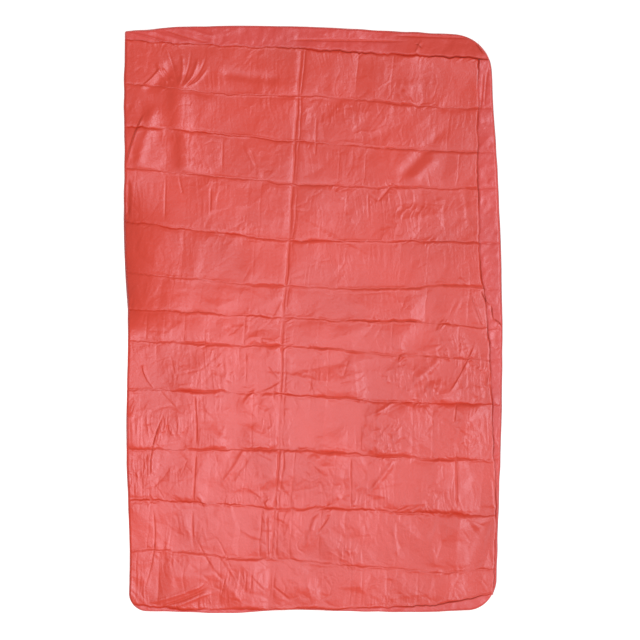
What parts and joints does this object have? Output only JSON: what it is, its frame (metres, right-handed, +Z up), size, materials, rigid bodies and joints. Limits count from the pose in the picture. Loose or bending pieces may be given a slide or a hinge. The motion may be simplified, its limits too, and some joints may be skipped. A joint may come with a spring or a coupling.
{
  "type": "camp quilt",
  "caption": "Light camp quilt laid flat: nylon face and back panels, quilted cross channels with fill pads, turned edge bands, three fold lines.",
  "frame": {"origin": "under the middle of the quilt, on the surface that it lies on", "axes": "+Y along the quilt towards its head edge, +X across it towards the wide side band, +Z up"},
  "size_m": [1.3, 2.02, 0.0115],
  "materials": {
    "face_fabric": "coral red coated nylon taffeta, satin sheen",
    "back_fabric": "dusty rose nylon taffeta, soft sheen",
    "band_fabric": "coral red nylon taffeta turned over at the edge",
    "fill": "white polyester fibre batting, matte",
    "thread": "polyester sewing thread, matching red"
  },
  "bodies": {
    "head_section": {"face_panel_head": "face_fabric", "back_panel_head": "back_fabric", "side_band_head": "band_fabric", "side_seam_head": "thread", "left_seam_head": "thread", "fill_pad_01": "fill", "fill_pad_02": "fill", "quilting_row_01": "thread", "quilting_row_02": "thread", "head_band": "band_fabric", "head_band_seam": "thread"},
    "upper_middle": {"face_panel_upper_middle": "face_fabric", "back_panel_upper_middle": "back_fabric", "side_band_upper_middle": "band_fabric", "side_seam_upper_middle": "thread", "left_seam_upper_middle": "thread", "fill_pad_03": "fill", "fill_pad_04": "fill", "fill_pad_05": "fill", "fill_pad_06": "fill", "quilting_row_03": "thread", "quilting_row_04": "thread", "quilting_row_05": "thread", "quilting_row_06": "thread"},
    "lower_middle": {"face_panel_lower_middle": "face_fabric", "back_panel_lower_middle": "back_fabric", "side_band_lower_middle": "band_fabric", "side_seam_lower_middle": "thread", "left_seam_lower_middle": "thread", "fill_pad_07": "fill", "fill_pad_08": "fill", "fill_pad_09": "fill", "fill_pad_10": "fill", "quilting_row_07": "thread", "quilting_row_08": "thread", "quilting_row_09": "thread", "quilting_row_10": "thread"},
    "foot_section": {"face_panel_foot": "face_fabric", "back_panel_foot": "back_fabric", "side_band_foot": "band_fabric", "side_seam_foot": "thread", "left_seam_foot": "thread", "fill_pad_11": "fill", "fill_pad_12": "fill", "quilting_row_11": "thread", "foot_band": "band_fabric", "foot_band_seam": "thread"}
  },
  "joints": [
    {"name": "head_fold", "type": "hinge", "parent": "upper_middle", "child": "head_section", "pos_m": [0, 0.6, 0.0145], "axis": [1, 0, 0], "range_deg": [0, 180]},
    {"name": "middle_fold", "type": "hinge", "parent": "upper_middle", "child": "lower_middle", "pos_m": [0, 0, 0.032], "axis": [-1, 0, 0], "range_deg": [0, 180]},
    {"name": "foot_fold", "type": "hinge", "parent": "lower_middle", "child": "foot_section", "pos_m": [0, -0.656, 0.0145], "axis": [-1, 0, 0], "range_deg": [0, 180]}
  ]
}
